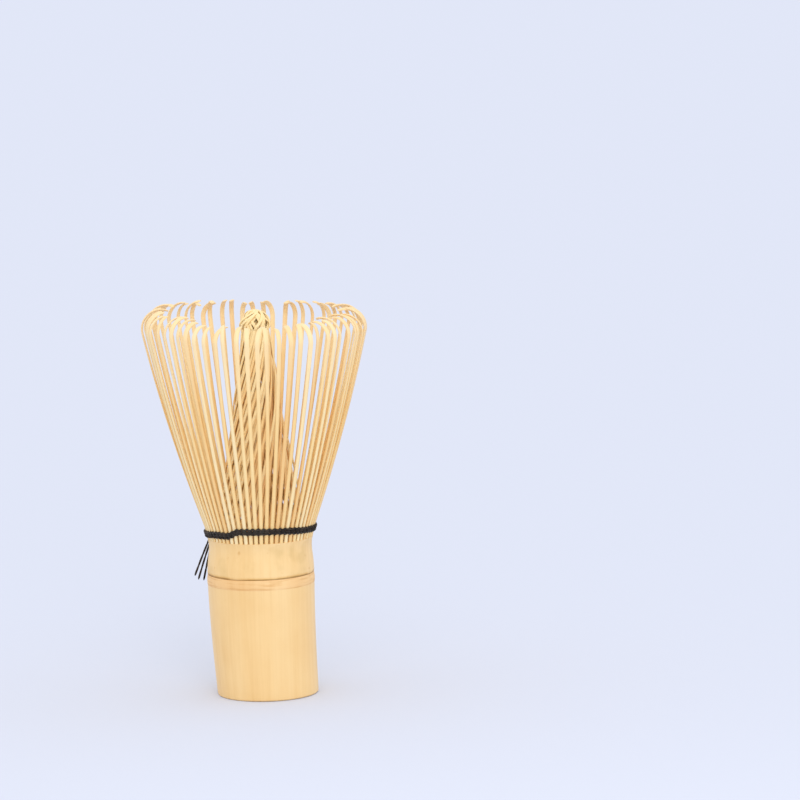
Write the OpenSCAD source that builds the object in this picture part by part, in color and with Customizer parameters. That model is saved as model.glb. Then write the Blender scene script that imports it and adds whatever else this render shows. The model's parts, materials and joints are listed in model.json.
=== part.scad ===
// Bamboo tea whisk, standing on its grip with its tines up.
// One length of culm is cut, slit and shaved into a grip, a collar and two rings of
// tines, and a black thread is woven round the feet of the tines.
// Z runs up the axis of the culm from the middle of its cut end.
// Lengths are in millimetres and angles in degrees.

/* [Grip] */
// Height of the grip, from its cut end up to the node line
grip_height = 35.6; // [24:0.1:50]
// Diameter of the grip at its cut end
grip_bottom_d = 29.3; // [24:0.1:36]
// Diameter of the grip just under the band of the node
grip_top_d = 31; // [24:0.1:37]
// Width of the bevel on the cut end
end_bevel = 0.5; // [0.1:0.05:1]
// Height of the swollen band under the node line
ridge_height = 3; // [1:0.1:4]
// How far the swollen band stands out from the grip
ridge_rise = 0.2; // [0.1:0.05:0.8]
// Thickness of the wall that closes the culm inside the node
diaphragm_thickness = 1.6; // [0.8:0.1:3]
// How far the edge of that wall reaches into the bamboo round it
diaphragm_seat = 0.5; // [0.3:0.05:0.8]

/* [Collar] */
// Height of the plain collar, from the node line up to the slits
collar_height = 10.5; // [7:0.1:18]
// Diameter of the collar at the slits
collar_d = 30.9; // [24:0.1:37]
// How far the waist of the collar is drawn in, just under the slits
waist_depth = 0.55; // [0.1:0.05:1]
// Thickness of the bamboo at the slits
wall = 3.5; // [2.9:0.1:4.5]

/* [Slits] */
// Number of staves that the ring is first split into
staves = 16; // [10:1:18]
// Number of tines that each stave is split into, outside and inside alike
tines_per_stave = 4; // [2:1:4]
// Width of the slit between two neighbouring tines
slit = 0.2; // [0.12:0.01:0.45]
// Height of the straight foot of a tine, from the slits up to its bend
foot_straight = 0.5; // [0.3:0.1:1.5]
// Height of the fixed foot over the bend, up to where the tine flexes
foot_over = 0.3; // [0.2:0.05:1]

/* [Outer tines] */
// Thickness of an outer tine at its foot
tine_thickness = 0.8; // [0.5:0.05:1]
// Thickness of an outer tine at its tip
tip_thickness = 0.4; // [0.25:0.05:0.6]
// Lean of the feet of the tines, where they leave the collar
foot_lean = 12; // [8:0.5:14]
// Length of the bend where the tines turn outwards
bend_length = 5; // [3:0.1:8]
// Lean of the tines from upright, just above the bend
lean_low = 19.3; // [15:0.1:24]
// Lean of the tines from upright, just under the hook
lean_high = 12.3; // [5:0.1:14]
// Length of a tine between its bend and its hook
blade_length = 57.2; // [44:0.1:72]
// Radius of the hook at the tip
hook_radius = 5.8; // [3:0.1:8]
// Angle that the hook turns inwards
hook_turn = 97; // [60:1:130]

/* [Inner tines] */
// Thickness of the feet of the inner tines
inner_foot = 1; // [0.7:0.05:1.2]
// Thickness of an inner tine
inner_thickness = 0.4; // [0.3:0.02:0.5]
// Width of an inner tine at its tip
inner_tip_width = 0.42; // [0.3:0.02:0.5]
// Height of the inner bundle over the slits
inner_height = 65; // [48:0.5:78]
// Distance from the axis to the outermost tips of the inner bundle
inner_tip_radius = 4.6; // [4:0.1:7]
// Distance between two layers of tips in the inner bundle
layer_step = 0.9; // [0.7:0.05:1.1]

/* [Thread] */
// Diameter of the thread
thread_d = 0.95; // [0.6:0.05:1.1]
// Height of the lower turn of thread over the slits
thread_rise = 2; // [1.1:0.1:2.4]
// Diameter of the knot at the back of the collar
knot_d = 1.8; // [1.2:0.1:2.4]
// Direction of the knot round the axis, from +X
knot_angle = 150; // [120:1:200]
// Number of loose ends that leave the knot
tails = 4; // [2:1:4]
// Diameter of a loose end
tail_d = 0.55; // [0.4:0.05:0.6]
// Length of a loose end
tail_length = 10.5; // [6:0.5:14]
// Lean of the loose ends away from the collar
tail_lean = 12; // [4:1:20]
// How much each loose end fans out from the next
tail_fan = 5; // [2:0.5:8]

/* [Fits] */
// Gap under each group of outer tines, where it flexes
flex_gap = 0.15; // [0.1:0.01:0.3]
// Gap between the thread and the bamboo under it
thread_gap = 0.03; // [0.02:0.01:0.1]

/* [Hidden] */
$fn = 96;
tines = staves * tines_per_stave;
tine_pitch = 360 / tines;
stave_pitch = 360 / staves;

slit_z = grip_height + collar_height;
bend_z = slit_z + foot_straight;
collar_r = collar_d / 2;
hollow_r = min(collar_r - wall, grip_bottom_d / 2 - end_bevel - wall / 2);
ridge_z = grip_height - ridge_height;
diaphragm_z = grip_height - diaphragm_thickness;

// Middle line of an outer tine: a short bend, a long shallow arc and the hook, end to end.
// Each arc is [x, z, angle at its start, turn over its length, length].
bend = [collar_r - tine_thickness / 2, bend_z, foot_lean, lean_low - foot_lean, bend_length];
blade = concat(arc_at(bend, 1), [lean_low, lean_high - lean_low, blade_length]);
hook_length = hook_radius * hook_turn * PI / 180;
hook = concat(arc_at(blade, 1), [lean_high, -hook_turn, hook_length]);
tine_length = blade_length + hook_length;
// Where the tines stop being feet, as a height and as a share of the blade
foot_z = arc_at(bend, 1)[1] + foot_over;
foot_share = share_at_height(blade, foot_z);
tine_width = 2 * (collar_r - tine_thickness) * sin(tine_pitch / 2) - slit;

inner_z = slit_z + inner_height;
inner_foot_r = hollow_r + inner_foot / 2;
inner_root_width = 2 * hollow_r * sin(tine_pitch / 2) - slit;
// Layers alternate, so that neighbouring tips are far apart
layer_of = [0, 2, 1, 3];

// How far the cutters reach past the faces that they cut
past = 1;
// How far a tine starts below its level cut, as a share of the blade
root_share = 0.03;

// The knot hangs just under the lower turn of thread, clear of the collar
knot_rise = thread_rise - thread_d / 2 - knot_d / 2 - thread_gap;
knot_gap = 4 * thread_gap;
knot_r = collar_r + knot_d / 2 + knot_gap;
// Half of the angle that the three lobes of the knot take up round the collar
knot_half_turn = 4;
// Angle round the collar from one loose end to the next, so that they stay apart
tail_pitch = (tail_d + 2 * thread_gap) / knot_r * 180 / PI;

bamboo = [0.98, 0.84, 0.62];
bamboo_pale = [1, 0.88, 0.66];
bamboo_dark = [0.9, 0.72, 0.47];
thread_black = [0.12, 0.11, 0.13];

outer_nodes = [for (i = [1 : staves]) stave_name("outer_tines_", i)];
inner_nodes = [for (i = [1 : staves]) stave_name("inner_tines_", i)];
tail_nodes = [for (i = [1 : tails]) str("thread_tail_", i)];

function stave_name(kind, i) = str(kind, i < 10 ? "0" : "", i);

// Point at share u of an arc
function arc_at(arc, u) =
    let (k = arc[3] * PI / 180 / arc[4], a = arc[2], b = arc[2] + arc[3] * u)
    [arc[0] + (cos(a) - cos(b)) / k, arc[1] + (sin(b) - sin(a)) / k];

// Share of an upward arc at which it reaches a height
function share_at_height(arc, z) =
    let (k = arc[3] * PI / 180 / arc[4])
    (asin(sin(arc[2]) + (z - arc[1]) * k) - arc[2]) / arc[3];

// Point beside an arc, off to its outer side
function beside(arc, u, off) =
    let (a = arc[2] + arc[3] * u)
    arc_at(arc, u) + off * [cos(a), -sin(a)];

// Thickness of a tine at a length above its bend
function thickness_at(length) =
    tine_thickness + (tip_thickness - tine_thickness) * length / tine_length;

// One side of an outer tine from share u0 of the blade up to its tip
function tine_side(u0, side, blade_steps = 8, hook_steps = 9) = concat(
    [for (i = [0 : blade_steps])
        let (u = u0 + (1 - u0) * i / blade_steps)
        beside(blade, u, side * thickness_at(u * blade_length) / 2)],
    [for (i = [1 : hook_steps])
        let (u = i / hook_steps)
        beside(hook, u, side * thickness_at(blade_length + u * hook_length) / 2)]
);

// One side of the feet of the outer tines, from their bend up to where they flex
function foot_side(side, steps = 3) = concat(
    [for (i = [1 : steps]) beside(bend, i / steps, side * tine_thickness / 2)],
    [foot_end(side)]
);

// Where a side of the feet meets the level cut
function foot_end(side) =
    let (p = beside(blade, foot_share, side * thickness_at(foot_share * blade_length) / 2))
    [p[0] + (foot_z - p[1]) * tan(lean_low), foot_z];

// Distance from the axis to the outer face of the feet at a height
function foot_face(z) =
    beside(bend, share_at_height(bend, z), tine_thickness / 2)[0];

// Outer face of the collar, from the node line up to the bend of the feet
function collar_face(steps = 8) = [
    for (i = [0 : steps])
        let (u = i / steps, node_r = grip_top_d / 2)
        [node_r + (collar_r - node_r) * u - waist_depth * sin(180 * u * u),
         grip_height + (bend_z - grip_height) * u]
];

// Turned wall of the grip, with the culm's hollow as a straight bore and, over it,
// the seat where the wall inside the node grows into the bamboo
module grip() {
    color(bamboo)
    difference() {
        union() {
            cylinder(h = end_bevel, r1 = grip_bottom_d / 2 - end_bevel, r2 = grip_bottom_d / 2);
            translate([0, 0, end_bevel])
                cylinder(h = ridge_z - end_bevel, d1 = grip_bottom_d, d2 = grip_top_d);
            translate([0, 0, ridge_z])
                cylinder(h = ridge_height, d = grip_top_d);
        }
        translate([0, 0, -past])
            cylinder(h = grip_height + 2 * past, r = hollow_r);
        translate([0, 0, diaphragm_z])
            cylinder(h = diaphragm_thickness + past, r = hollow_r + diaphragm_seat);
    }
}

// Swollen band of the node, outside the top of the grip
module node_ridge(steps = 6) {
    color(bamboo_dark)
    rotate_extrude()
    polygon([
        for (i = [0 : steps])
            let (u = i / steps)
            [grip_top_d / 2 + ridge_rise * sin(180 * u), ridge_z + ridge_height * u]
    ]);
}

// Wall inside the node, which closes the culm under the tines
module diaphragm() {
    color(bamboo_dark)
    translate([0, 0, diaphragm_z])
        cylinder(h = diaphragm_thickness, r = hollow_r + diaphragm_seat);
}

// Plain neck over the node, slit at its top into the feet of both rings of tines
module collar() {
    color(bamboo)
    difference() {
        rotate_extrude()
        polygon(concat(
            [[hollow_r, foot_z], [hollow_r, grip_height]],
            collar_face(),
            foot_side(1),
            [for (i = [len(foot_side(-1)) - 1 : -1 : 0]) foot_side(-1)[i]],
            [[bend[0] - tine_thickness / 2, bend_z], [hollow_r + inner_foot, bend_z]],
            [[hollow_r + inner_foot, foot_z]]
        ));
        for (i = [0 : tines - 1])
            rotate([0, 0, (i - tines_per_stave / 2) * tine_pitch])
            translate([hollow_r - past, -slit / 2, slit_z])
                cube([foot_end(1)[0] - hollow_r + 2 * past, slit, foot_z - slit_z + past]);
    }
}

// One outer tine on the +X side: a shaved strip with a hooked tip
module outer_tine() {
    intersection() {
        translate([0, tine_width / 2, 0])
        rotate([90, 0, 0])
        linear_extrude(tine_width)
        polygon(concat(
            tine_side(foot_share - root_share, 1),
            [for (i = [len(tine_side(0, -1)) - 1 : -1 : 0]) tine_side(foot_share - root_share, -1)[i]]
        ));
        translate([0, -tine_width, foot_z + flex_gap])
            cube([3 * collar_d, 2 * tine_width, 2 * tine_length]);
    }
}

// Outer tines of one stave, which flex together
module outer_tines(i) {
    color(bamboo_pale)
    for (j = [0 : tines_per_stave - 1])
        rotate([0, 0, (i - 1) * stave_pitch + (j - (tines_per_stave - 1) / 2) * tine_pitch])
            outer_tine();
}

// One inner tine on the +X side: a tapered strip that leans in to its layer of the bundle
module inner_tine(layer) {
    tip_r = inner_tip_radius - layer * layer_step;
    rise = inner_z - foot_z;
    lean = atan((inner_foot_r - tip_r) / rise);
    reach = rise / cos(lean);
    intersection() {
        translate([inner_foot_r, 0, foot_z])
        rotate([0, -lean, 0])
        translate([inner_thickness / 2, 0, 0])
        rotate([0, -90, 0])
        linear_extrude(inner_thickness)
        polygon([
            [-past, -inner_root_width / 2],
            [reach, -inner_tip_width / 2],
            [reach, inner_tip_width / 2],
            [-past, inner_root_width / 2]
        ]);
        translate([-collar_r, -collar_r, foot_z])
            cube([collar_d, collar_d, inner_height]);
    }
}

// Inner tines of one stave, gathered into the bundle
module inner_tines(i) {
    color(bamboo_dark)
    for (j = [0 : tines_per_stave - 1])
        rotate([0, 0, (i - 1) * stave_pitch + (j - (tines_per_stave - 1) / 2) * tine_pitch])
            inner_tine(layer_of[j]);
}

// A turn of thread round the feet of the outer tines
module thread_turn(ring_r, rise) {
    color(thread_black)
    translate([0, 0, slit_z + rise])
    rotate_extrude()
    translate([ring_r, 0])
        circle(d = thread_d, $fn = 24);
}

module thread_turn_outside(rise) {
    thread_turn(foot_face(slit_z + rise + thread_d / 3) + thread_d / 2 + thread_gap, rise);
}

// Knot, lying along the collar just under the turns of thread
module thread_knot() {
    color(thread_black)
    for (side = [-1 : 1])
        rotate([0, 0, knot_angle + side * knot_half_turn])
        translate([knot_r, 0, slit_z + knot_rise])
            sphere(d = knot_d, $fn = 36);
}

// Loose end of thread: down from the knot, leaning off the collar and fanned out
module thread_tail(i) {
    across = i - (tails + 1) / 2;
    color(thread_black)
    rotate([0, 0, knot_angle + across * tail_pitch])
    translate([knot_r, 0, slit_z + knot_rise])
    rotate([-across * tail_fan, 180 - tail_lean, 0])
    translate([0, 0, knot_d / 2 + thread_gap])
        cylinder(h = tail_length, d = tail_d, $fn = 24);
}

grip();
node_ridge();
diaphragm();
collar();
for (i = [1 : staves])
    outer_tines(i);
for (i = [1 : staves])
    inner_tines(i);
thread_turn_outside(thread_rise);  // thread_turn_lower
thread_turn_outside(thread_rise + thread_d + thread_gap);  // thread_turn_upper
thread_turn(hollow_r + inner_foot + thread_d / 2 + thread_gap, thread_rise + thread_d / 2);  // thread_turn_inside
thread_knot();
for (i = [1 : tails])
    thread_tail(i);
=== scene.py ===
import bmesh
import bpy
import json
import math
import random
from mathutils import Matrix, Vector
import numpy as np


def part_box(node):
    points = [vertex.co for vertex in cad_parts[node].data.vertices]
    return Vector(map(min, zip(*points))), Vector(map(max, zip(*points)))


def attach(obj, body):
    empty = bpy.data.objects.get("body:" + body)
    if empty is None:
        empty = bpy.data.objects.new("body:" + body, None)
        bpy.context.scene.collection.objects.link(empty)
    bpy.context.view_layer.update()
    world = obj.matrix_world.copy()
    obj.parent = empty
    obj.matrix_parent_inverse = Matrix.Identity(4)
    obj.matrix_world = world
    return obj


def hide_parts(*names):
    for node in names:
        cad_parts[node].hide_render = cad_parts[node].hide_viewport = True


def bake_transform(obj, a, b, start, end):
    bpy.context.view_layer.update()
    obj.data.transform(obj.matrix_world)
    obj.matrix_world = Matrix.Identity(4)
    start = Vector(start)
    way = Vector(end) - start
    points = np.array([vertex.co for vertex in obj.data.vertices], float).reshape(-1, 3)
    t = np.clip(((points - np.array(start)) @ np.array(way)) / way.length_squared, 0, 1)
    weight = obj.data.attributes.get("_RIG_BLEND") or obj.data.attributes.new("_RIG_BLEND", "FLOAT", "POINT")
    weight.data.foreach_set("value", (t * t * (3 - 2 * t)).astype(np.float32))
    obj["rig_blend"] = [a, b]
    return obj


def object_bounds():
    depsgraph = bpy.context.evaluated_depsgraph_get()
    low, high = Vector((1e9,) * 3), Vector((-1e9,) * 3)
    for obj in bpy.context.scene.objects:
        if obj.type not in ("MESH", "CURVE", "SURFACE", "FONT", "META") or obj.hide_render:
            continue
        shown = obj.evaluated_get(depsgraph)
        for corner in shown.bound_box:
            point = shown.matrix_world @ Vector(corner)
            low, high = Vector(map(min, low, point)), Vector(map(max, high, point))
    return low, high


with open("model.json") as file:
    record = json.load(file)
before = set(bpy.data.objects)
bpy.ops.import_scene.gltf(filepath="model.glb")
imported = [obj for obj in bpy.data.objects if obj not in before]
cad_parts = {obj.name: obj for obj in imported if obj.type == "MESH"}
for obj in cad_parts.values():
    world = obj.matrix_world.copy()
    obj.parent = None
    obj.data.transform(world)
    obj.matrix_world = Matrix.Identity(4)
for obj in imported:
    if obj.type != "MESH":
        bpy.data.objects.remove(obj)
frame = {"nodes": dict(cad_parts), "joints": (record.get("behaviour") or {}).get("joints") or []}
cad_low, cad_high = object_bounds()
scene = bpy.context.scene

# Grip
# The lower internode of the culm, peeled and rubbed smooth, a little narrower towards
# its cut end. The saw cut is eased round its edge and the culm's hollow is left open.
grip_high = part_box("grip")[1]
GRIP_END_RADIUS, GRIP_TOP_RADIUS = 0.01465, grip_high.x
WALL_SEAT = 0.0005
HOLLOW_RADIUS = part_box("diaphragm")[1].x - WALL_SEAT
NODE_HEIGHT, RIDGE_HEIGHT = grip_high.z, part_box("node_ridge")[0].z
SLIT_HEIGHT = NODE_HEIGHT + 0.0105
SWEEP_LOW, SWEEP_NODE, SWEEP_CURVE = 0.0010, 0.0002, 1.5
SWELL_CURVE, GRIP_RINGS = 0.9, 14
EDGE = 0.0006
AROUND, TURNED_CREASE = 128, 38
SKIN_PALE, SKIN_DEEP, SKIN_ROUGHNESS = (0.93, 0.66, 0.325), (0.90, 0.61, 0.275), 0.42
CUT_PALE, CUT_DEEP, CUT_ROUGHNESS = (0.80, 0.58, 0.33), (0.68, 0.45, 0.22), 0.75
FIBRE_END = (0.42, 0.26, 0.13)


def sweep_skin(piece):
    """The culm grew with a slight sweep: its skin drifts sideways over a straight hollow."""
    for vert in piece.data.vertices:
        radius = math.hypot(vert.co.x, vert.co.y)
        skin = min(1.0, max(0.0, (radius - HOLLOW_RADIUS) / (GRIP_END_RADIUS - HOLLOW_RADIUS)))
        low = max(0.0, 1 - vert.co.z / NODE_HEIGHT)
        bow = math.sin(math.pi * min(1.0, vert.co.z / SLIT_HEIGHT))
        vert.co.x += skin * (SWEEP_LOW * low ** SWEEP_CURVE - SWEEP_NODE * bow)


def finish_piece(name, shape, crease=None):
    """Makes a shape a piece of the scene, smooth but for the edges sharper than crease."""
    bmesh.ops.recalc_face_normals(shape, faces=shape.faces[:])
    mesh = bpy.data.meshes.new(name)
    shape.to_mesh(mesh)
    shape.free()
    mesh.shade_smooth()
    if crease:
        mesh.set_sharp_from_angle(angle=math.radians(crease))
    piece = bpy.data.objects.new(name, mesh)
    scene.collection.objects.link(piece)
    return piece


def turn_profile(name, outline):
    """A closed outline of (radius, height) points turned round the culm's axis."""
    shape = bmesh.new()
    points = [shape.verts.new((radius, 0, height)) for radius, height in outline]
    for a, b in zip(points, points[1:] + points[:1]):
        shape.edges.new((a, b))
    bmesh.ops.spin(shape, geom=shape.verts[:] + shape.edges[:], axis=(0, 0, 1), cent=(0, 0, 0),
                   angle=math.tau, steps=AROUND, use_merge=True, use_duplicate=False)
    bmesh.ops.remove_doubles(shape, verts=shape.verts[:], dist=1e-6)
    return finish_piece(name, shape, TURNED_CREASE)


def arc_points(centre, radius, first, last, count):
    """Points of a round edge, from angle first to last in degrees."""
    turns = [math.radians(first + (last - first) * i / count) for i in range(count + 1)]
    return [(centre[0] + radius * math.cos(t), centre[1] + radius * math.sin(t)) for t in turns]


def grip_radius(height):
    """Outer radius of the grip: nearly straight, with a slight swell into the node."""
    share = height / RIDGE_HEIGHT
    return GRIP_END_RADIUS + (GRIP_TOP_RADIUS - GRIP_END_RADIUS) * share ** SWELL_CURVE


heights = [EDGE + (RIDGE_HEIGHT - EDGE) * i / GRIP_RINGS for i in range(GRIP_RINGS + 1)]
outer_line = [(grip_radius(height), height) for height in heights]
grip_outline = (
    arc_points((HOLLOW_RADIUS + EDGE / 2, EDGE / 2), EDGE / 2, 180, 270, 4)
    + arc_points((grip_radius(EDGE) - EDGE, EDGE), EDGE, 270, 360, 5)
    + outer_line[1:]
    + [(HOLLOW_RADIUS, RIDGE_HEIGHT)]
)
grip = turn_profile("grip_culm", grip_outline)
sweep_skin(grip)


def material_nodes(name):
    """A new material, its shader, and functions that add a node or a link to it."""
    material = bpy.data.materials.new(name)
    material.use_nodes = True
    tree = material.node_tree
    shader = tree.nodes["Principled BSDF"]

    def add(kind, inputs=(), **settings):
        made = tree.nodes.new(kind)
        for key, value in settings.items():
            setattr(made, key, value)
        for key, value in dict(inputs).items():
            if isinstance(value, bpy.types.NodeSocket):
                tree.links.new(value, made.inputs[key])
            else:
                made.inputs[key].default_value = value
        return made

    return material, shader, add, tree.links.new


def ramp(add, factor, stops):
    """Colours blended from stop to stop. Each stop is (place, colour)."""
    made = add("ShaderNodeValToRGB", {"Fac": factor})
    while len(made.color_ramp.elements) < len(stops):
        made.color_ramp.elements.new(0.5)
    for element, (place, colour) in zip(made.color_ramp.elements, stops):
        element.position = place
        element.color = (*colour, 1)
    return made.outputs["Color"]


def mix_colour(add, blend_type, factor, one, other):
    """Two colours mixed. The factor and either colour may be a node's output."""
    made = add("ShaderNodeMix", data_type="RGBA", blend_type=blend_type)
    for socket, value in zip((made.inputs[0], made.inputs[6], made.inputs[7]), (factor, one, other)):
        if isinstance(value, bpy.types.NodeSocket):
            made.id_data.links.new(value, socket)
        else:
            socket.default_value = value
    return made.outputs[2]


def turned_bamboo(name, pale, deep, roughness):
    """Straw-coloured wood with long thin fibres up the culm, cloudy from place to place."""
    material, shader, add, link = material_nodes(name)
    place = add("ShaderNodeTexCoord").outputs["Object"]
    fibre_space = add("ShaderNodeMapping", {"Vector": place, "Scale": (900, 900, 14)})
    fibre = add("ShaderNodeTexNoise",
                {"Vector": fibre_space.outputs[0], "Scale": 1.0, "Detail": 3.0, "Roughness": 0.6})
    band_space = add("ShaderNodeMapping", {"Vector": place, "Scale": (170, 170, 9)})
    band = add("ShaderNodeTexNoise", {"Vector": band_space.outputs[0], "Scale": 1.0, "Detail": 2.0})
    mottle = add("ShaderNodeTexNoise", {"Vector": place, "Scale": 95.0, "Detail": 4.0})
    wood = ramp(add, band.outputs["Fac"], [(0.3, deep), (0.66, pale)])
    grain = ramp(add, fibre.outputs["Fac"], [(0.3, (0.90, 0.85, 0.76)), (0.62, (1, 1, 1))])
    wood = mix_colour(add, "MULTIPLY", 0.45, wood, grain)
    cloud = ramp(add, mottle.outputs["Fac"], [(0.32, (0.95, 0.90, 0.82)), (0.6, (1, 1, 1))])
    wood = mix_colour(add, "MULTIPLY", 0.5, wood, cloud)
    bump = add("ShaderNodeBump", {"Strength": 0.2, "Distance": 0.00005, "Height": fibre.outputs["Fac"]})
    link(bump.outputs["Normal"], shader.inputs["Normal"])
    shader.inputs["Roughness"].default_value = roughness
    shader.inputs["Specular IOR Level"].default_value = 0.4
    return material, shader, add, link, wood, place


material, shader, add, link, wood, place = turned_bamboo(
    "grip_bamboo", SKIN_PALE, SKIN_DEEP, SKIN_ROUGHNESS)
link(wood, shader.inputs["Base Color"])
grip.data.materials.append(material)

# The saw cut shows the ends of the fibres as fine dark dots.
cut_wood, cut_shader, add, link, wood, place = turned_bamboo(
    "cut_end_bamboo", CUT_PALE, CUT_DEEP, CUT_ROUGHNESS)
dots = add("ShaderNodeTexVoronoi", {"Vector": place, "Scale": 1700.0})
dot_colour = ramp(add, dots.outputs["Distance"], [(0.16, FIBRE_END), (0.34, (1, 1, 1))])
wood = mix_colour(add, "MULTIPLY", 0.8, wood, dot_colour)
link(wood, cut_shader.inputs["Base Color"])
grip.data.materials.append(cut_wood)
for face in grip.data.polygons:
    radius = math.hypot(face.center.x, face.center.y)
    if face.center.z < EDGE * 0.5 or radius < HOLLOW_RADIUS + EDGE / 4:
        face.material_index = 1
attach(grip, "root")
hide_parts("grip")

# Node band
# The swollen ring where the culm's sheath grew, left a little proud of the grip and a
# shade pinker than it, ringed with fine scars, its upper edge falling to the node line.
BAND_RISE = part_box("node_ridge")[1].x - GRIP_TOP_RADIUS
BAND_STEP, BAND_SWELL, BAND_FALL = 0.14, 0.5, 0.35
BAND_RINGS, BAND_TOP = 14, 0.93
LINE_RADIUS, LINE_INSET, LINE_DROP = 0.0001, 0.00015, 0.00012
NODE_PALE, NODE_DEEP, NODE_ROUGHNESS = (0.93, 0.63, 0.31), (0.87, 0.54, 0.235), 0.5
SCAR = (0.86, 0.76, 0.62)
band_height = NODE_HEIGHT - RIDGE_HEIGHT
band_outline = [(HOLLOW_RADIUS, RIDGE_HEIGHT)]
for i in range(BAND_RINGS + 1):
    share = i / BAND_RINGS
    swell = (BAND_STEP * min(1.0, share * 12) + BAND_SWELL * math.sin(math.pi * share ** 0.7)
             - BAND_FALL * share ** 2)
    band_outline.append((GRIP_TOP_RADIUS + BAND_RISE * swell,
                         RIDGE_HEIGHT + band_height * BAND_TOP * share))
band_outline += arc_points((GRIP_TOP_RADIUS - LINE_INSET, NODE_HEIGHT - LINE_DROP), LINE_RADIUS, 60, 120, 2)
band_outline.append((HOLLOW_RADIUS, NODE_HEIGHT))
node_band = turn_profile("node_band", band_outline)
sweep_skin(node_band)
material, shader, add, link, wood, place = turned_bamboo(
    "node_bamboo", NODE_PALE, NODE_DEEP, NODE_ROUGHNESS)
scar_space = add("ShaderNodeMapping", {"Vector": place, "Scale": (130, 130, 1500)})
scar = add("ShaderNodeTexNoise", {"Vector": scar_space.outputs[0], "Scale": 1.0, "Detail": 3.0})
scar_colour = ramp(add, scar.outputs["Fac"], [(0.36, SCAR), (0.52, (1, 1, 1))])
wood = mix_colour(add, "MULTIPLY", 0.75, wood, scar_colour)
link(wood, shader.inputs["Base Color"])
node_band.data.materials.append(material)
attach(node_band, "root")
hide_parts("node_ridge")

# Diaphragm
# The thin wall that grew across the culm inside its node. It is a shallow dish of soft
# pith, rough on both sides, seen down between the tines and up through the hollow.
DISH_DEPTH, UNDERSIDE_DEPTH, DISH_RINGS = 0.0009, 0.7, 10
PITH_PALE, PITH_DEEP, PITH_ROUGHNESS = (0.86, 0.70, 0.46), (0.62, 0.44, 0.24), 0.85
dish_low, dish_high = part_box("diaphragm")
dish_outline = []
for side, base in ((1, dish_high.z), (-1, dish_low.z)):
    sink = 1 if side > 0 else UNDERSIDE_DEPTH
    line = [(HOLLOW_RADIUS * i / DISH_RINGS, base - DISH_DEPTH * (1 - (i / DISH_RINGS) ** 2) * sink)
            for i in range(DISH_RINGS + 1)]
    dish_outline += line if side > 0 else line[::-1]
dish_outline[0] = (0, dish_outline[0][1])
dish_outline[-1] = (0, dish_outline[-1][1])
diaphragm = turn_profile("node_wall", dish_outline)
material, shader, add, link = material_nodes("pith_membrane")
place = add("ShaderNodeTexCoord").outputs["Object"]
crumble = add("ShaderNodeTexNoise", {"Vector": place, "Scale": 700.0, "Detail": 6.0, "Roughness": 0.65})
link(ramp(add, crumble.outputs["Fac"], [(0.3, PITH_DEEP), (0.7, PITH_PALE)]), shader.inputs["Base Color"])
bump = add("ShaderNodeBump", {"Strength": 0.6, "Distance": 0.0002, "Height": crumble.outputs["Fac"]})
link(bump.outputs["Normal"], shader.inputs["Normal"])
shader.inputs["Roughness"].default_value = PITH_ROUGHNESS
diaphragm.data.materials.append(material)
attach(diaphragm, "root")
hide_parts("diaphragm")

# Collar
# The neck over the node, drawn in just under the slits. A thin uneven line is left where
# the sheath was torn off the node, and the top edge is where the slits stop.
BEND_START = SLIT_HEIGHT + 0.0005
COLLAR_RADIUS = 0.01545
WAIST_DEPTH = 0.00055
NODE_RADIUS = GRIP_TOP_RADIUS
GROOVE, GROOVE_SHARE = 0.00011, 0.035
TOP_EDGE, HOLLOW_EDGE = 0.0012, 0.0002
COLLAR_ROUGHNESS = 0.45
LINE_WANDER = 0.0012
LINE_OLIVE, LINE_DARK, LINE_FADE = (0.56, 0.43, 0.24), (0.50, 0.38, 0.20), (0.88, 0.79, 0.60)
STAIN, SPECK = (0.86, 0.85, 0.78), (0.78, 0.64, 0.44)


def collar_radius(height):
    """Outer radius of the neck, with the groove of the node line at its foot."""
    share = (height - NODE_HEIGHT) / (BEND_START - NODE_HEIGHT)
    waist = WAIST_DEPTH * math.sin(math.pi * share * share)
    lip = GROOVE * max(0.0, 1 - share / GROOVE_SHARE)
    return NODE_RADIUS + (COLLAR_RADIUS - NODE_RADIUS) * share - waist - lip


neck_height = SLIT_HEIGHT - NODE_HEIGHT
collar_outline = [(HOLLOW_RADIUS, NODE_HEIGHT), (NODE_RADIUS - 2 * GROOVE, NODE_HEIGHT)]
for share in [0.012, 0.02, GROOVE_SHARE] + [0.07 + 0.93 * i / 18 for i in range(19)]:
    height = NODE_HEIGHT + neck_height * share
    collar_outline.append((collar_radius(height), height))
collar_outline += [(COLLAR_RADIUS - TOP_EDGE, SLIT_HEIGHT), (HOLLOW_RADIUS + TOP_EDGE, SLIT_HEIGHT),
                   (HOLLOW_RADIUS, SLIT_HEIGHT - HOLLOW_EDGE)]
collar = turn_profile("collar_neck", collar_outline)
sweep_skin(collar)
material, shader, add, link, wood, place = turned_bamboo(
    "collar_bamboo", SKIN_PALE, SKIN_DEEP, COLLAR_ROUGHNESS)
height = add("ShaderNodeSeparateXYZ", {"Vector": place}).outputs["Z"]
wander = add("ShaderNodeTexNoise", {"Vector": place, "Scale": 75.0, "Detail": 4.0})
wobble = add("ShaderNodeMath", {0: wander.outputs["Fac"], 1: LINE_WANDER}, operation="MULTIPLY")
raised = add("ShaderNodeMath", {0: height, 1: wobble.outputs[0]}, operation="SUBTRACT")
over_node = add("ShaderNodeMapRange", {
    "Value": raised.outputs[0], "From Min": NODE_HEIGHT - 0.0005, "From Max": NODE_HEIGHT + 0.0010})
line_colour = ramp(add, over_node.outputs[0], [
    (0.0, LINE_OLIVE), (0.16, LINE_DARK), (0.26, LINE_FADE), (0.6, (1, 1, 1))])
patchy = add("ShaderNodeTexNoise", {"Vector": place, "Scale": 160.0, "Detail": 2.0})
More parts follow.
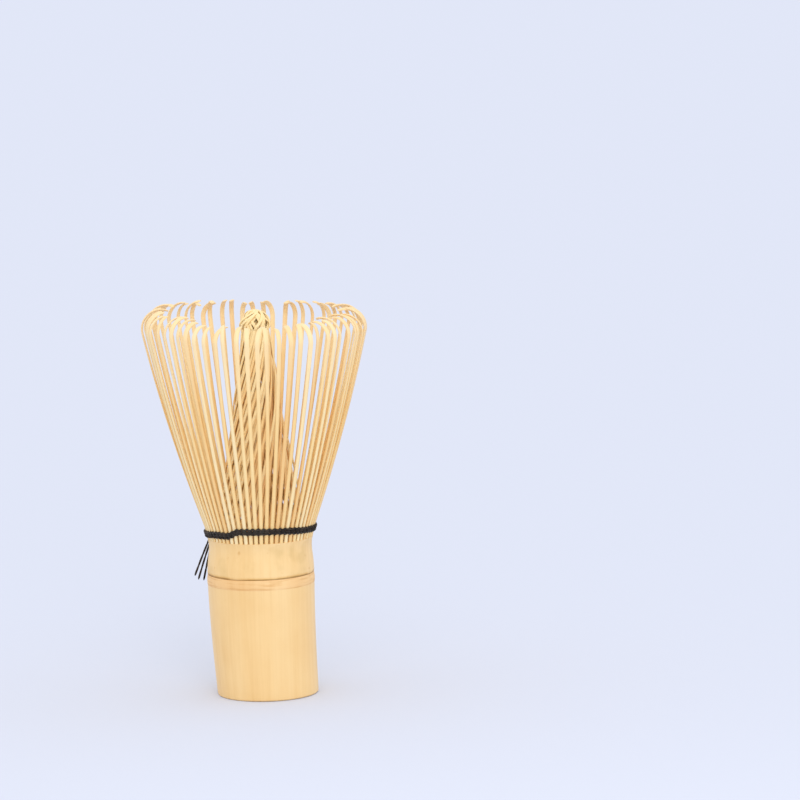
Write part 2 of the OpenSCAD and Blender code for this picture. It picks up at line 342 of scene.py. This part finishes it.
line_strength = add("ShaderNodeMapRange",
                    {"Value": patchy.outputs["Fac"], "From Min": 0.36, "From Max": 0.52, "To Min": 0.45})
wood = mix_colour(add, "MULTIPLY", line_strength.outputs[0], wood, line_colour)
stain = add("ShaderNodeTexNoise", {"Vector": place, "Scale": 150.0, "Detail": 2.0})
stain_colour = ramp(add, stain.outputs["Fac"], [(0.52, (1, 1, 1)), (0.68, STAIN)])
wood = mix_colour(add, "MULTIPLY", 0.7, wood, stain_colour)
speck = add("ShaderNodeTexNoise", {"Vector": place, "Scale": 420.0, "Detail": 1.0})
speck_colour = ramp(add, speck.outputs["Fac"], [(0.70, (1, 1, 1)), (0.78, SPECK)])
wood = mix_colour(add, "MULTIPLY", 0.6, wood, speck_colour)
link(wood, shader.inputs["Base Color"])
collar.data.materials.append(material)
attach(collar, "root")
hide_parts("collar")

# Outer tines
# The skin side of each stave is slit into four strips, shaved thinner and thinner to
# the tip, and hooked over heat. No two are quite alike, and some lean on a neighbour.
STAVES = sum(1 for name in frame["nodes"] if name.startswith("outer_tines_"))
TINES_PER_STAVE = 4
TINE_PITCH = math.tau / (STAVES * TINES_PER_STAVE)
TINE_THICK, TIP_THICK = 0.00084, 0.00058
FOOT_WIDTH, TINE_WIDTH, TIP_WIDTH = 0.00121, 0.00124, 0.00155
FOOT_START = SLIT_HEIGHT - 0.0007
BEND_LENGTH, BLADE_LENGTH = 0.005, 0.0572
FOOT_LEAN, FOOT_FLARE, LEAN_LOW, LEAN_HIGH = 12.0, 4.0, 19.3, 12.3
HOOK_RADIUS, HOOK_TURN = 0.0058, 97.0
FREE_START = 0.008
STAVE_LEAN_SPREAD, TINE_LEAN_SPREAD, RIGHT_DRAWN_IN = 0.4, 0.6, 0.6
GATHERS, DRIFT_SPREAD, TWIST_SPREAD = (0.0, 0.3, 0.7), 0.9, 0.45
PAIR_CURL, CURL_SPREAD, SIDE_TIGHTEN = 0.0009, 0.0012, 0.27
BACK_RISE, RIGHT_FALL, RIM_DROP, RIM_DRIFT = 0.022, 0.030, 0.0005, 0.0004
SPRING_BELOW, SPRING_ABOVE = 0.0018, 0.016
STRIP_SIDES, STRIP_CREASE = 8, 65
TINE_TONES = [(0.0, (0.91, 0.59, 0.25)), (0.3, (0.95, 0.67, 0.30)), (0.7, (0.97, 0.73, 0.36)),
              (1.0, (0.98, 0.80, 0.47))]
TINE_ROUGHNESS, TINE_TIP = 0.45, (0.96, 0.76, 0.46)
TINE_PALE_FROM, TINE_PALE_TO = 0.040, 0.070
# Painted shade: the colour each strip darkens to at its side edges, where neighbouring tines shade each
# other.
PAINTED_EDGE_SHADE = (0.86, 0.68, 0.44)
pick = random.Random(11)


def strip_section(shape, tone):
    """The eight-sided end of a strip, one unit half across, with its grain marks."""
    marks = shape.verts.layers.float
    across, tint, along = [marks.get(mark) or marks.new(mark) for mark in ("across", "tone", "along")]
    made = bmesh.ops.create_circle(shape, cap_ends=True, cap_tris=False, segments=STRIP_SIDES,
                                   radius=1)["verts"]
    bmesh.ops.rotate(shape, verts=made, cent=(0, 0, 0),
                     matrix=Matrix.Rotation(math.tau / (2 * STRIP_SIDES), 3, "Z"))
    for vert in made:
        vert[across] = vert.co.x
        vert[tint] = tone
    return made, along


def grow_strip(shape, tone, places):
    """Extrudes a section from place to place. Each place is (matrix, distance along)."""
    verts, along = strip_section(shape, tone)
    first, before = places[0]
    bmesh.ops.transform(shape, matrix=first, verts=verts)
    for vert in verts:
        vert[along] = before
    face = verts[0].link_faces[0]
    last = first
    for place, distance in places[1:]:
        made = bmesh.ops.extrude_face_region(shape, geom=[face])["geom"]
        face = next(g for g in made if isinstance(g, bmesh.types.BMFace))
        verts = face.verts[:]
        bmesh.ops.transform(shape, matrix=place @ last.inverted(), verts=verts)
        for vert in verts:
            vert[along] = distance
        last = place


def strip_place(point, heading, outward, width, thick):
    """Matrix that sets a unit section at a point, facing along heading."""
    heading = heading.normalized()
    across = outward.cross(heading).normalized()
    outward = heading.cross(across)
    turned = Matrix((across * (width / 2), outward * (thick / 2), heading)).transposed()
    return Matrix.Translation(point) @ turned.to_4x4()


def settle(point):
    """The rings dried a little out of true: they lean right, and their back left stands up."""
    rise = max(0.0, (point.z - BEND_START) / (cad_high.z - BEND_START))
    point.z += rise * (BACK_RISE * point.y - RIGHT_FALL * point.x - RIM_DROP)
    point.x += RIM_DRIFT * rise
    return point


def strip_bamboo(name, tones, roughness, pale_from, pale_to, tip_shade):
    """Shaved bamboo, with fibres along the strip, a tone of its own for each one, and painted shade along
    its side edges.
    """
    material, shader, add, link = material_nodes(name)
    across, along, tone = [add("ShaderNodeAttribute", attribute_name=mark).outputs["Fac"]
                           for mark in ("across", "along", "tone")]
    grain_place = add("ShaderNodeCombineXYZ", {
        axis: add("ShaderNodeMath", {0: mark, 1: spread}, operation="MULTIPLY").outputs[0]
        for axis, mark, spread in (("X", across, 3.2), ("Y", along, 130.0), ("Z", tone, 60.0))}).outputs[0]
    fibre = add("ShaderNodeTexNoise",
                {"Vector": grain_place, "Scale": 1.0, "Detail": 4.0, "Roughness": 0.6})
    wood = ramp(add, tone, tones)
    grain = ramp(add, fibre.outputs["Fac"], [(0.32, (0.88, 0.80, 0.68)), (0.6, (1, 1, 1))])
    wood = mix_colour(add, "MULTIPLY", 0.5, wood, grain)
    # Painted shade: each strip is darkened towards its side edges, standing in for the shade between
    # neighbouring strips.
    edge = add("ShaderNodeMath", {0: across}, operation="ABSOLUTE").outputs[0]
    painted_edge_shade_colour = ramp(add, edge, [(0.6, (1, 1, 1)), (0.95, PAINTED_EDGE_SHADE)])
    wood = mix_colour(add, "MULTIPLY", 0.5, wood, painted_edge_shade_colour)
    tip = add("ShaderNodeMapRange",
              {"Value": along, "From Min": pale_from, "From Max": pale_to, "To Max": 0.7})
    wood = mix_colour(add, "MIX", tip.outputs[0], wood, (*tip_shade, 1))
    link(wood, shader.inputs["Base Color"])
    bump = add("ShaderNodeBump", {"Strength": 0.3, "Distance": 0.00005, "Height": fibre.outputs["Fac"]})
    link(bump.outputs["Normal"], shader.inputs["Normal"])
    shader.inputs["Roughness"].default_value = roughness
    shader.inputs["Specular IOR Level"].default_value = 0.4
    return material


outer_bamboo = strip_bamboo(
    "outer_tine_bamboo", TINE_TONES, TINE_ROUGHNESS, TINE_PALE_FROM, TINE_PALE_TO, TINE_TIP)


def middle_line(steps, lean, hook_turn, hook_radius):
    """Walks up a tine: straight foot, bend, long shallow arc and hook."""
    foot = BEND_START - FOOT_START
    sunk = foot * math.tan(math.radians(FOOT_LEAN + FOOT_FLARE))
    radius, height = COLLAR_RADIUS - TINE_THICK / 2 - sunk, FOOT_START
    angle, distance = FOOT_LEAN + FOOT_FLARE, 0.0
    walked = [(radius, height, angle, distance)]
    runs = (
        (foot / math.cos(math.radians(FOOT_LEAN + FOOT_FLARE / 2)), -FOOT_FLARE, steps[0]),
        (BEND_LENGTH, LEAN_LOW - FOOT_LEAN + lean, steps[1]),
        (BLADE_LENGTH, LEAN_HIGH - LEAN_LOW, steps[2]),
        (hook_radius * math.radians(hook_turn), -hook_turn, steps[3]),
    )
    for length, turn, count in runs:
        for i in range(count):
            middle = math.radians(angle + turn / count / 2)
            radius += length / count * math.sin(middle)
            height += length / count * math.cos(middle)
            distance += length / count
            angle += turn / count
            walked.append((radius, height, angle, distance))
    return walked


def outer_tine(shape, direction, lean, drift, curl, twist, hook_turn, hook_radius, tone):
    """One strip: direction round the axis, drift and sideways curl towards the tip."""
    walked = middle_line((2, 6, 16, 13), lean, hook_turn, hook_radius)
    total = walked[-1][3]
    hook_start = total - hook_radius * math.radians(hook_turn)
    spots = []
    for radius, height, angle, distance in walked:
        share = max(0.0, (distance - FREE_START) / (total - FREE_START))
        hooked = max(0.0, (distance - hook_start) / (total - hook_start))
        turn = direction + math.radians(drift) * share ** 2 + curl * hooked ** 2 / radius
        point = settle(Matrix.Rotation(turn, 3, "Z") @ Vector((radius, 0, height)))
        spots.append((point, turn, angle, distance))
    places = []
    for i, (point, turn, angle, distance) in enumerate(spots):
        ahead = spots[min(i + 1, len(spots) - 1)][0] - spots[max(i - 1, 0)][0]
        lean_out = math.radians(angle)
        outward = Matrix.Rotation(turn, 3, "Z") @ Vector((math.cos(lean_out), 0, -math.sin(lean_out)))
        share = distance / total
        outward = Matrix.Rotation(twist * share, 3, ahead) @ outward
        width = FOOT_WIDTH + (TINE_WIDTH - FOOT_WIDTH) * min(1.0, share * 4)
        width += (TIP_WIDTH - TINE_WIDTH) * max(0.0, share * 3 - 2)
        thick = TINE_THICK + (TIP_THICK - TINE_THICK) * min(1.0, share * 1.15)
        if i == len(spots) - 1:
            width, thick = width * 0.8, thick * 0.6
        places.append((strip_place(point, ahead, outward, width, thick), distance))
    grow_strip(shape, tone, places)


def tine_direction(stave, tine):
    """Direction of a strip's foot round the culm, the same in both rings."""
    return stave * TINES_PER_STAVE * TINE_PITCH + (tine - (TINES_PER_STAVE - 1) / 2) * TINE_PITCH


flexes = {joint["child"]: joint for joint in frame["joints"]}
for stave in range(STAVES):
    shape = bmesh.new()
    stave_lean = pick.uniform(-STAVE_LEAN_SPREAD, STAVE_LEAN_SPREAD)
    for tine in range(TINES_PER_STAVE):
        direction = tine_direction(stave, tine)
        inward = (TINES_PER_STAVE - 1) / 2 - tine
        gather = pick.choice(GATHERS)
        tighter = 1 - SIDE_TIGHTEN * abs(math.sin(direction)) ** 1.5
        pair = 1 if tine % 2 == 0 else -1
        drawn_in = RIGHT_DRAWN_IN * max(0.0, math.cos(direction))
        outer_tine(shape, direction,
                   lean=stave_lean - drawn_in + pick.uniform(-TINE_LEAN_SPREAD, TINE_LEAN_SPREAD),
                   drift=gather * inward + pick.uniform(-DRIFT_SPREAD, DRIFT_SPREAD),
                   curl=PAIR_CURL * pair + pick.uniform(-CURL_SPREAD, CURL_SPREAD),
                   twist=pick.uniform(-TWIST_SPREAD, TWIST_SPREAD),
                   hook_turn=HOOK_TURN * pick.uniform(0.95, 1.35),
                   hook_radius=HOOK_RADIUS * tighter * pick.uniform(0.86, 1.02),
                   tone=pick.random())
    body = f"stave_{stave + 1:02d}"
    piece = finish_piece(f"outer_stave_{stave + 1:02d}", shape, STRIP_CREASE)
    piece.data.materials.append(outer_bamboo)
    hinge = Vector(flexes[body]["pos_m"])
    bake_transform(piece, "root", body, start=hinge - Vector((0, 0, SPRING_BELOW)),
             end=hinge + Vector((0, 0, SPRING_ABOVE)))
    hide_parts(f"outer_tines_{stave + 1:02d}")

# Inner tines
# The pith side of each stave, slit finer, pressed in to the middle and twisted into one
# sheaf. The tips are wound over each other, which makes a dense knobbly crown.
INNER_FOOT_RADIUS = HOLLOW_RADIUS + 0.0005
INNER_WIDTH, INNER_TIP_WIDTH = 0.00102, 0.00088
INNER_THICK, INNER_TIP_THICK = 0.00062, 0.00036
CROWN_BASE = 0.1070
CROWN_RISE, NECK_RADIUS = 0.0056, 0.0039
SHEAF_TWIST = math.radians(120)
SHEAF_START = 0.050
SHEAF_LINE = [(0.0510, INNER_FOOT_RADIUS), (0.0710, 0.0088), (0.0810, 0.0072), (0.1000, 0.0045),
              (CROWN_BASE, NECK_RADIUS)]
LAYER_DEPTHS, LAYER_SHRINK = [0.0, 0.42, 0.14, 0.75], 0.62
STRAY_BULGE, STRAY_CHANCE = 0.0012, 0.12
SHEAF_RINGS, CROWN_RINGS = 26, 14
INNER_TONES = [(0.0, (0.92, 0.60, 0.27)), (0.4, (0.96, 0.70, 0.34)), (0.75, (0.98, 0.77, 0.41)),
               (1.0, (0.99, 0.83, 0.50))]
INNER_ROUGHNESS, INNER_TIP = 0.5, (0.98, 0.80, 0.44)
INNER_PALE_FROM, INNER_PALE_TO = 0.056, 0.064

inner_bamboo = strip_bamboo(
    "inner_tine_bamboo", INNER_TONES, INNER_ROUGHNESS, INNER_PALE_FROM, INNER_PALE_TO, INNER_TIP)


def sheaf_radius(height):
    """Outer radius of the twisted sheaf."""
    if height <= SHEAF_LINE[0][0]:
        return SHEAF_LINE[0][1]
    for (low, start), (high, end) in zip(SHEAF_LINE, SHEAF_LINE[1:]):
        if height <= high:
            return start + (end - start) * (height - low) / (high - low)
    return SHEAF_LINE[-1][1]


def inner_tine(shape, direction, depth, stray, swirl, over, swell, tone):
    """One strip: depth is its layer in the sheaf, swirl and over are its path on the crown."""
    points = []
    shrink = 1 - LAYER_SHRINK * depth
    for i in range(SHEAF_RINGS + 1):
        height = FOOT_START + (CROWN_BASE - FOOT_START) * i / SHEAF_RINGS
        rise = max(0.0, (height - SHEAF_START) / (CROWN_BASE - SHEAF_START))
        radius = sheaf_radius(height) * (1 + (shrink - 1) * rise ** 0.8)
        radius += stray * math.sin(math.pi * rise) * STRAY_BULGE
        turn = direction + SHEAF_TWIST * (0.35 * rise + 0.65 * rise ** 2)
        points.append(settle(Vector((radius * math.cos(turn), radius * math.sin(turn), height))))
    neck_radius = radius
    start_turn = turn
    for i in range(1, CROWN_RINGS + 1):
        share = i / CROWN_RINGS
        polar = math.radians(90 - over * share)
        bulge = 1 + swell * math.sin(math.pi * share ** 0.7)
        turn = start_turn + swirl * share ** 1.2
        flat = neck_radius * bulge * math.sin(polar)
        height = CROWN_BASE + CROWN_RISE * (0.35 + 0.65 * shrink) * math.cos(polar)
        points.append(settle(Vector((flat * math.cos(turn), flat * math.sin(turn), height))))
    places = []
    distance = 0.0
    middle = settle(Vector((0, 0, CROWN_BASE)))
    for i, point in enumerate(points):
        ahead = points[min(i + 1, len(points) - 1)] - points[max(i - 1, 0)]
        if i:
            distance += (point - points[i - 1]).length
        heading = ahead.normalized()
        if i <= SHEAF_RINGS:
            normal = Vector((point.x, point.y, 0)).normalized()
        else:
            normal = (point - middle).normalized()
        normal = (normal - heading * normal.dot(heading)).normalized()
        share = i / (len(points) - 1)
        width = INNER_WIDTH + (INNER_TIP_WIDTH - INNER_WIDTH) * min(1.0, share * 1.5)
        thick = INNER_THICK + (INNER_TIP_THICK - INNER_THICK) * min(1.0, share * 1.3)
        if i == len(points) - 1:
            width, thick = width * 0.6, thick * 0.6
        places.append((strip_place(point, heading, normal, width, thick), distance))
    grow_strip(shape, tone, places)


for stave in range(STAVES):
    shape = bmesh.new()
    for tine in range(TINES_PER_STAVE):
        direction = tine_direction(stave, tine)
        depth = max(0.0, LAYER_DEPTHS[tine] + pick.uniform(-0.06, 0.06))
        is_stray = pick.random() < STRAY_CHANCE
        inner_tine(shape, direction, depth,
                   stray=pick.uniform(0.6, 1.0) if is_stray and depth < 0.3 else pick.uniform(-0.15, 0.15),
                   swirl=math.radians(pick.uniform(35, 165)) * pick.choice((1, 1, -0.8)),
                   over=pick.uniform(70, 150),
                   swell=pick.uniform(0.12, 0.34),
                   tone=pick.random())
    piece = finish_piece(f"inner_stave_{stave + 1:02d}", shape, STRIP_CREASE)
    piece.data.materials.append(inner_bamboo)
    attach(piece, "root")
    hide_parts(f"inner_tines_{stave + 1:02d}")

# Thread turns
# One black cotton thread, laid in three close turns that dip into every slit. They climb
# the flare of the tines round the front, and run back down at the right and the rear.
THREAD = 0.00074
ROW_STEP = 0.00052
TIE_HEIGHT, CLIMB = 0.0475, 0.0023
RIGHT_SHARE, FRONT_FALL, SLOW_CLIMB, STEEP_CLIMB = 0.45, 0.55, 0.4, 0.6
ROW_WANDER, ROW_SPREAD = 0.00005, 0.00026
STAND_PROUD, SLIT_DIP = 0.36, 0.40
POINTS_PER_TINE, THREAD_SIDES = 8, 10
PLY_TURN = math.radians(24)
COTTON_DARK, COTTON_BROWN = (0.017, 0.013, 0.011), (0.046, 0.035, 0.028)
COTTON_FADED = (0.030, 0.050, 0.047)
LINT_DARK, LINT_PALE = (0.4, 0.4, 0.4), (2.2, 2.1, 2.0)


def smooth_step(start, end, value):
    """Runs from 0 at start to 1 at end, easy at both ends."""
    share = min(1.0, max(0.0, (value - start) / (end - start)))
    return share * share * (3 - 2 * share)


foot_line = middle_line((2, 12, 16, 4), 0.0, HOOK_TURN, HOOK_RADIUS)


def foot_face(height):
    """Radius of the outer face of the feet at a height."""
    for (r0, z0, a0, _), (r1, z1, a1, _) in zip(foot_line, foot_line[1:]):
        if height <= z1:
            share = (height - z0) / (z1 - z0)
            radius = r0 + (r1 - r0) * share
            return radius + TINE_THICK / 2 / math.cos(math.radians(a0 + (a1 - a0) * share))
    return foot_line[-1][0]


def tie_height(turn):
    """Height of the middle of the band, round the whisk in degrees from +X."""
    if turn < 180:
        return TIE_HEIGHT + CLIMB * RIGHT_SHARE * (1 - smooth_step(0, 180, turn))
    climbed = SLOW_CLIMB * smooth_step(180, 230, turn) + STEEP_CLIMB * smooth_step(235, 250, turn)
    return TIE_HEIGHT + CLIMB * (climbed - FRONT_FALL * smooth_step(275, 360, turn))


black_cotton, shader, add, link = material_nodes("black_cotton")
place = add("ShaderNodeTexCoord").outputs["Object"]
fluff = add("ShaderNodeTexNoise", {"Vector": place, "Scale": 5200.0, "Detail": 3.0})
wear = add("ShaderNodeTexNoise", {"Vector": place, "Scale": 320.0, "Detail": 2.0})
cotton = ramp(add, wear.outputs["Fac"], [(0.35, COTTON_DARK), (0.62, COTTON_BROWN), (0.76, COTTON_FADED)])
lint = ramp(add, fluff.outputs["Fac"], [(0.35, LINT_DARK), (0.7, LINT_PALE)])
link(mix_colour(add, "MULTIPLY", 0.8, cotton, lint), shader.inputs["Base Color"])
bump = add("ShaderNodeBump", {"Strength": 0.8, "Distance": 0.00008, "Height": fluff.outputs["Fac"]})
link(bump.outputs["Normal"], shader.inputs["Normal"])
shader.inputs["Roughness"].default_value = 0.8
shader.inputs["Specular IOR Level"].default_value = 0.25
shader.inputs["Sheen Weight"].default_value = 0.08
shader.inputs["Sheen Roughness"].default_value = 0.4


def lay_thread(name, points, diameter, twist, closed=False):
    """A two-ply thread along points: its section has two lobes that turn as it goes."""
    shape = bmesh.new()
    verts = bmesh.ops.create_circle(shape, cap_ends=True, cap_tris=False, segments=THREAD_SIDES,
                                    radius=1)["verts"]
    for vert in verts:
        vert.co.y *= 0.80 + 0.16 * abs(vert.co.x)
    count = len(points)
    normal = Vector((0, 0, 1))
    face, last = verts[0].link_faces[0], None
    for i, point in enumerate(points):
        if closed:
            ahead = points[(i + 1) % count] - points[i - 1]
        else:
            ahead = points[min(i + 1, count - 1)] - points[max(i - 1, 0)]
        heading = ahead.normalized()
        normal = (normal - heading * normal.dot(heading)).normalized()
        lobes = Matrix.Rotation(twist * i, 3, heading) @ normal
        size = diameter * (0.55 if not closed and i in (0, count - 1) else 1.0)
        place = strip_place(point, heading, lobes, size, size)
        if last is None:
            bmesh.ops.transform(shape, matrix=place, verts=verts)
        else:
            made = bmesh.ops.extrude_face_region(shape, geom=[face])["geom"]
            face = next(g for g in made if isinstance(g, bmesh.types.BMFace))
            bmesh.ops.transform(shape, matrix=place @ last.inverted(), verts=face.verts[:])
        last = place
    if closed:
        start = next(f for f in shape.faces if len(f.verts) == THREAD_SIDES and f is not face)
        rims = start.edges[:] + face.edges[:]
        bmesh.ops.delete(shape, geom=[start, face], context="FACES_ONLY")
        bmesh.ops.bridge_loops(shape, edges=rims)
    piece = finish_piece(name, shape)
    piece.data.materials.append(black_cotton)
    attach(piece, "root")
    return piece


def thread_row(row):
    """Points of one turn round the feet, pressed into each slit."""
    points = []
    marks = STAVES * TINES_PER_STAVE * POINTS_PER_TINE
    for i in range(marks):
        turn = math.tau * i / marks
        height = tie_height(math.degrees(turn)) + ROW_STEP * (row - 1)
        pressed = 0.5 + 0.5 * math.cos(turn / TINE_PITCH * math.tau)
        height += ROW_WANDER * math.sin(turn * 9 + row * 2) + ROW_SPREAD * (row - 1) * pressed ** 2
        radius = foot_face(height) + THREAD * (STAND_PROUD - SLIT_DIP * pressed ** 1.5)
        points.append(Vector((radius * math.cos(turn), radius * math.sin(turn), height)))
    return points


row_nodes = {"thread_row_low": "thread_turn_lower", "thread_row_middle": None,
             "thread_row_high": "thread_turn_upper"}
for row, (name, node) in enumerate(row_nodes.items()):
    piece = lay_thread(name, thread_row(row), THREAD, PLY_TURN, closed=True)
    if node:
        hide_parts(node)

# The same thread runs on between the outer and inner feet, and keeps the two rings apart.
INSIDE_POINTS, INSIDE_SET_BACK = 256, 0.62
INSIDE_WEAVE, INSIDE_WANDER = 0.0002, 0.0004
inside_low, inside_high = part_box("thread_turn_inside")
inside_points = []
for i in range(INSIDE_POINTS):
    turn = math.tau * i / INSIDE_POINTS
    radius = inside_high.x - THREAD * INSIDE_SET_BACK + INSIDE_WEAVE * math.sin(32 * turn)
    height = (inside_low.z + inside_high.z) / 2 + INSIDE_WANDER * math.sin(7 * turn)
    inside_points.append(Vector((radius * math.cos(turn), radius * math.sin(turn), height)))
inside_row = lay_thread("thread_row_inside", inside_points, THREAD, PLY_TURN, closed=True)
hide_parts("thread_turn_inside")

# Knot and loose ends
# The thread is tied off at the back left, under its turns. The cut ends are stiff with
# wax, so they stand off the collar and splay apart.
KNOT_DIRECTION = math.radians(150)
KNOT_SIZE, KNOT_POINTS = 0.00036, 72
END_THICK, END_PLY_TURN = 0.00062, math.radians(30)
END_TIPS = [(-0.01965, 0.0072, 0.03375), (-0.0187, 0.0080, 0.03245), (-0.0172, 0.0090, 0.0320),
            (-0.0159, 0.0098, 0.0328)]
END_PLACES, END_SINK = (0.0, 0.0008, 0.0013, 0.0021), 0.0003
END_BOW, END_SPLAY, END_POINTS = -0.00012, 0.0001, 25
knot_low, knot_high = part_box("thread_knot")
knot_middle = (knot_low + knot_high) / 2
knot_points = []
for i in range(KNOT_POINTS):
    turn = math.tau * i / KNOT_POINTS
    loop = Vector((math.sin(turn) + 2 * math.sin(2 * turn), math.cos(turn) - 2 * math.cos(2 * turn),
                   -math.sin(3 * turn))) * KNOT_SIZE
    upright_loop = Vector((loop.z, loop.x, loop.y))
    knot_points.append(knot_middle + Matrix.Rotation(KNOT_DIRECTION, 3, "Z") @ upright_loop)
knot = lay_thread("thread_knot_tied", knot_points, END_THICK, END_PLY_TURN, closed=True)
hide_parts("thread_knot")

along_knot = Vector((math.sin(KNOT_DIRECTION), -math.cos(KNOT_DIRECTION), 0))
for i, (tip, offset) in enumerate(zip(END_TIPS, END_PLACES)):
    start = knot_middle + along_knot * offset - Vector((0, 0, END_SINK))
    points = []
    for k in range(END_POINTS):
        share = k / (END_POINTS - 1)
        bow = Vector((END_BOW, END_SPLAY * (i - 1.5), 0)) * math.sin(math.pi * share)
        points.append(start.lerp(Vector(tip), share) + bow)
    loose_end = lay_thread(f"thread_end_{i + 1}", points, END_THICK, END_PLY_TURN)
    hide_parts(f"thread_tail_{i + 1}")

# Studio
# A wide pale table under an even, nearly white sky, a soft light from the front, and a
# small panel by the camera that gives the skin of the bamboo its satin streak.
FLOOR_RADIUS, TABLE_COLOUR = 9.0, (0.685, 0.727, 0.867)
SKY_STRENGTH, SKY_LIGHT, BACKDROP = 1.03, (0.99, 0.985, 0.97), (0.757, 0.800, 0.940)
SUN_STRENGTH, SUN_SPREAD, SUN_COLOUR, SUN_FROM = 0.4, math.radians(40), (1.0, 0.97, 0.93), (0.1, -1.0, 0.9)
PANEL_POWER, PANEL_SIZE, PANEL_PLACE, PANEL_AIM = 0.35, 0.16, (0.10, -0.55, 0.22), (0, 0, 0.04)
floor_shape = bmesh.new()
bmesh.ops.create_circle(floor_shape, cap_ends=True, segments=96, radius=FLOOR_RADIUS)
floor_mesh = bpy.data.meshes.new("table_top")
floor_shape.to_mesh(floor_mesh)
floor_shape.free()
floor = bpy.data.objects.new("table_top", floor_mesh)
scene.collection.objects.link(floor)
material, shader, add, link = material_nodes("pale_table")
shader.inputs["Base Color"].default_value = (*TABLE_COLOUR, 1)
shader.inputs["Roughness"].default_value = 1.0
shader.inputs["Specular IOR Level"].default_value = 0.0
floor.data.materials.append(material)

world = bpy.data.worlds.new("studio")
world.use_nodes = True
sky = world.node_tree.nodes["Background"]
sky.inputs["Strength"].default_value = SKY_STRENGTH
seen = world.node_tree.nodes.new("ShaderNodeLightPath")
sky_mix = world.node_tree.nodes.new("ShaderNodeMix")
sky_mix.data_type = "RGBA"
sky_mix.inputs[6].default_value = (*SKY_LIGHT, 1)
sky_mix.inputs[7].default_value = (*[part / SKY_STRENGTH for part in BACKDROP], 1)
world.node_tree.links.new(seen.outputs["Is Camera Ray"], sky_mix.inputs[0])
world.node_tree.links.new(sky_mix.outputs[2], sky.inputs["Color"])
scene.world = world
scene.view_settings.view_transform = "Standard"

sun_data = bpy.data.lights.new("window", "SUN")
sun_data.energy = SUN_STRENGTH
sun_data.angle = SUN_SPREAD
sun_data.color = SUN_COLOUR
sun = bpy.data.objects.new("window", sun_data)
sun.rotation_mode = "QUATERNION"
sun.rotation_quaternion = Vector(SUN_FROM).to_track_quat("Z", "Y")
scene.collection.objects.link(sun)

panel_data = bpy.data.lights.new("panel", "AREA")
panel_data.energy = PANEL_POWER
panel_data.size = PANEL_SIZE
panel = bpy.data.objects.new("panel", panel_data)
panel.location = PANEL_PLACE
panel.rotation_mode = "QUATERNION"
panel.rotation_quaternion = (panel.location - Vector(PANEL_AIM)).to_track_quat("Z", "Y")
scene.collection.objects.link(panel)

# Camera
# A long lens a little above the whisk. It is aimed to the right of the whisk and rolled
# a touch, so the whisk stands left of the middle and leans slightly.
LENS = 200.0
CAMERA_DISTANCE = 1.284
CAMERA_ELEVATION = math.radians(7.5)
CAMERA_ROLL = math.radians(1.5)
AIM = Vector((0.04155, 0.0, 0.0848))

camera_data = bpy.data.cameras.new("camera")
camera_data.lens = LENS
camera = bpy.data.objects.new("camera", camera_data)
scene.collection.objects.link(camera)
toward_camera = Vector((0, -math.cos(CAMERA_ELEVATION), math.sin(CAMERA_ELEVATION)))
camera.location = AIM + toward_camera * CAMERA_DISTANCE
upright = toward_camera.to_track_quat("Z", "Y")
camera.rotation_mode = "QUATERNION"
camera.rotation_quaternion = upright @ Matrix.Rotation(-CAMERA_ROLL, 3, "Z").to_quaternion()
scene.camera = camera

bpy.context.view_layer.update()
